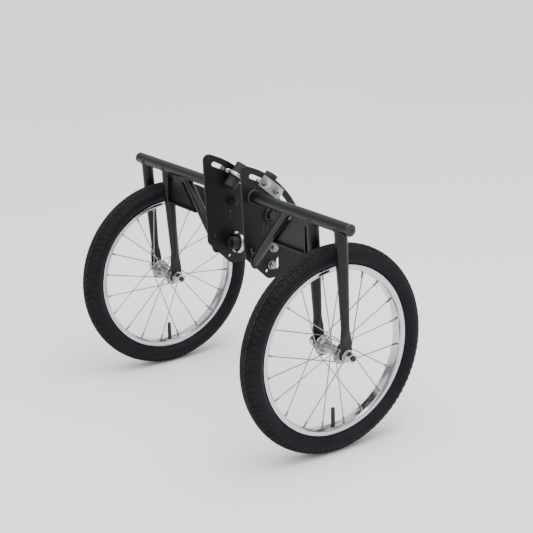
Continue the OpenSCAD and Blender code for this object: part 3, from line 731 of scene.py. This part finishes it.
def make_leg(side, leg, name, node):
    """One leg, its top cut to the arm's round and its foot a rounded tab about the axle."""
    top, foot = leg_ends(leg)
    axis = (foot - top).normalized()
    thin, broad = Vector((1, 0, 0)), axis.cross(Vector((1, 0, 0)))
    run = 45 * MM
    rings = []
    for index, (t, half_t, half_w, square) in enumerate(leg_stations((foot - top).length)):
        ring = []
        for j in range(leg_sides):
            turn = TURN * j / leg_sides
            u, v = rounded(math.cos(turn), square), rounded(math.sin(turn), square)
            point = top + t * axis + half_t * u * thin + half_w * v * broad
            if index == 0:
                reach = to_arm(point - t * axis + run * axis, -axis)
                point = point + (run - t - reach - into_arm) * axis
            ring.append(point)
        rings.append(ring)
    points, faces = gathered([rings])
    made = piece(name, side_points(points, side), faces, "frame", "black_paint", crease=50)
    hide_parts(node)


# Screw threads, as a helical ridge over each plain shank
ridge, root = 0.42 * MM, 0.12 * MM
rows_per_pitch = 6
axle_thread = (9.5 * MM, 1.0 * MM)
bolt_thread = (8 * MM, 1.25 * MM)
steady_thread = (10 * MM, 1.5 * MM)
bolt_behind_plate = 12 * MM


def thread(x0, x1, y, z, size, sides=28):
    """Rings of a screw thread of a diameter and pitch along X, which fades out at both ends."""
    diameter, pitch = size
    rows = max(int((x1 - x0) / pitch * rows_per_pitch), rows_per_pitch)
    rings = []
    for i in range(rows + 1):
        x = x0 + (x1 - x0) * i / rows
        fade = min(1, (x - x0) / pitch, (x1 - x) / pitch)
        ring = []
        for j in range(sides):
            angle = TURN * j / sides
            lift = 0.5 + 0.5 * math.cos(TURN * (x / pitch + j / sides))
            radius = diameter / 2 - root + ridge * lift * fade
            ring.append((x, y + radius * math.sin(angle), z + radius * math.cos(angle)))
        rings.append(ring)
    return rings


def make_axle_threads(side, name):
    """Threads on the axle outside both of its nuts."""
    low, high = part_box("right_axle")
    nut_low, nut_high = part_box("right_axle_nuts")
    clear, tip = 0.1 * MM, 1.2 * MM
    ends = [(nut_high.x + clear, high.x - tip), (low.x + tip, nut_low.x - clear)]
    points, faces = gathered([thread(a, b, 0, axle_z, axle_thread) for a, b in ends])
    piece(name, side_points(points, side), faces, "frame", "dark_axle", crease=60)


def stud_places(node, slope):
    """Where the two legs of a U-bolt run, from its box; slope is the sign of its row's tilt."""
    low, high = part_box(node)
    middle, half = (low + high) / 2, (high - low) / 2
    along, up = half.y - bolt_thread[0] / 2, slope * (half.z - bolt_thread[0] / 2)
    return [(middle.y + s * along, middle.z + s * up) for s in (-1, 1)]


def make_bolt_threads(side, word):
    """Threads on the ends of both U-bolts, and on the inner end of the steadying bolt."""
    clear, by_plate = 0.05 * MM, 0.1 * MM
    bolt_tip, steady_tip = 0.5 * MM, 0.6 * MM
    for clamp, body, slope in (("clamp", word + "_stay_clamp", -1), ("low", "frame", 1)):
        bolts = "right_" + clamp + "_bolts"
        bolt_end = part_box(bolts)[1].x - bolt_tip
        nut_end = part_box("right_" + clamp + "_nuts")[1].x + clear
        inner = (plate_low.x - bolt_behind_plate, plate_low.x - by_plate)
        spans = [(nut_end, bolt_end), inner]
        parts = [thread(a, b, y, z, bolt_thread) for y, z in stud_places(bolts, slope) for a, b in spans]
        points, faces = gathered(parts)
        name = word + "_" + clamp + "_threads"
        piece(name, side_points(points, side), faces, body, "zinc_bolt", crease=60)
    low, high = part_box("right_steady_nut")
    start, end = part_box("right_steady_bolt")[0].x + steady_tip, low.x - clear
    y, z = (low.y + high.y) / 2, (low.z + high.z) / 2
    points, faces = gathered([thread(start, end, y, z, steady_thread)])
    name = word + "_steady_thread"
    piece(name, side_points(points, side), faces, "frame", "black_oxide", crease=60)


def make_tyres_and_trim():
    """Every piece that the script itself makes, on both sides."""
    for word, side in (("right", 1), ("left", -1)):
        make_tyre(side, word + "_ribbed_tyre", word + "_wheel", word + "_tyre")
        make_welds(side, word + "_weld_beads")
        make_axle_threads(side, word + "_axle_threads")
        make_bolt_threads(side, word)
        for leg in ("inner_leg", "outer_leg"):
            make_leg(side, leg, word + "_pressed_" + leg, word + "_" + leg)


# Floor and lights
floor_half = 14
floor_grey, floor_pale = (0.86, 0.86, 0.87), (0.9, 0.9, 0.905)

# Sky as stops of height, from 0 level to 1 overhead, and brightness
sky_bands = ((0.0, 1.0), (0.95, 0.6), (0.17, 0.95), (0.26, 0.3), (0.38, 0.3), (0.5, 1.0), (0.75, 0.9))
sky_tint = (0.98, 0.99, 1)
sky_strength = 1.3
sun_place, sun_strength, sun_spread = Vector((0.6, -0.5, 2.4)), 2.6, 70


def make_stage():
    """A plain pale floor."""
    floor = bpy.data.meshes.new("studio_floor")
    corners = [(x * floor_half, y * floor_half, 0) for x, y in ((-1, -1), (1, -1), (1, 1), (-1, 1))]
    floor.from_pydata(corners, [], [(0, 1, 2, 3)])
    sheet = bpy.data.objects.new("studio_floor", floor)
    bpy.context.scene.collection.objects.link(sheet)
    f = Finish("studio_floor", Specular_IOR_Level=0.25)
    cloud = f.noise(0.8, 2)
    f.wear(Base_Color=f.mix(cloud, floor_grey, floor_pale))
    f.wear(Roughness=0.5 + 0.1 * cloud)
    floor.materials.append(f.material)


def hung(light, place, aim):
    """Puts a light in the scene at a place, turned to the aim."""
    holder = bpy.data.objects.new(light.name, light)
    holder.location = place
    holder.rotation_mode = "QUATERNION"
    holder.rotation_quaternion = aimed(Vector(place), Vector(aim))
    bpy.context.scene.collection.objects.link(holder)


def soft_box(name, place, aim, size, power, tint=(1, 1, 1)):
    light = bpy.data.lights.new(name, "AREA")
    light.shape = "RECTANGLE"
    light.size, light.size_y = size
    light.energy = power
    light.color = tint
    hung(light, place, aim)


def make_lights():
    """A pale sky, darker in a band above its bright ring, with one broad soft sun and two soft boxes."""
    world = bpy.data.worlds.new("studio")
    world.use_nodes = True
    tree = world.node_tree
    back = tree.nodes["Background"]
    back.inputs["Strength"].default_value = sky_strength
    where = tree.nodes.new("ShaderNodeTexCoord")
    parts = tree.nodes.new("ShaderNodeSeparateXYZ")
    ramp = tree.nodes.new("ShaderNodeValToRGB")
    set_stops(ramp.color_ramp, sky_bands, sky_tint)
    tree.links.new(where.outputs["Generated"], parts.inputs[0])
    tree.links.new(parts.outputs["Z"], ramp.inputs["Fac"])
    tree.links.new(ramp.outputs["Color"], back.inputs["Color"])
    bpy.context.scene.world = world
    sun = bpy.data.lights.new("high_soft_lamp", "SUN")
    sun.energy = sun_strength
    sun.angle = math.radians(sun_spread)
    hung(sun, sun_place, (0, 0, 0))
    soft_box("overhead_box", (0.5, 0.3, 2.2), (0, 0, 0.3), size=(2.4, 0.9), power=30, tint=(1, 0.99, 0.98))
    soft_box("camera_side_box", (2.4, -2.6, 1.9), (0, 0, 0.25), size=(1.2, 1.2), power=4)


make_camera()
dress_nodes()
make_tyres_and_trim()
make_stage()
make_lights()
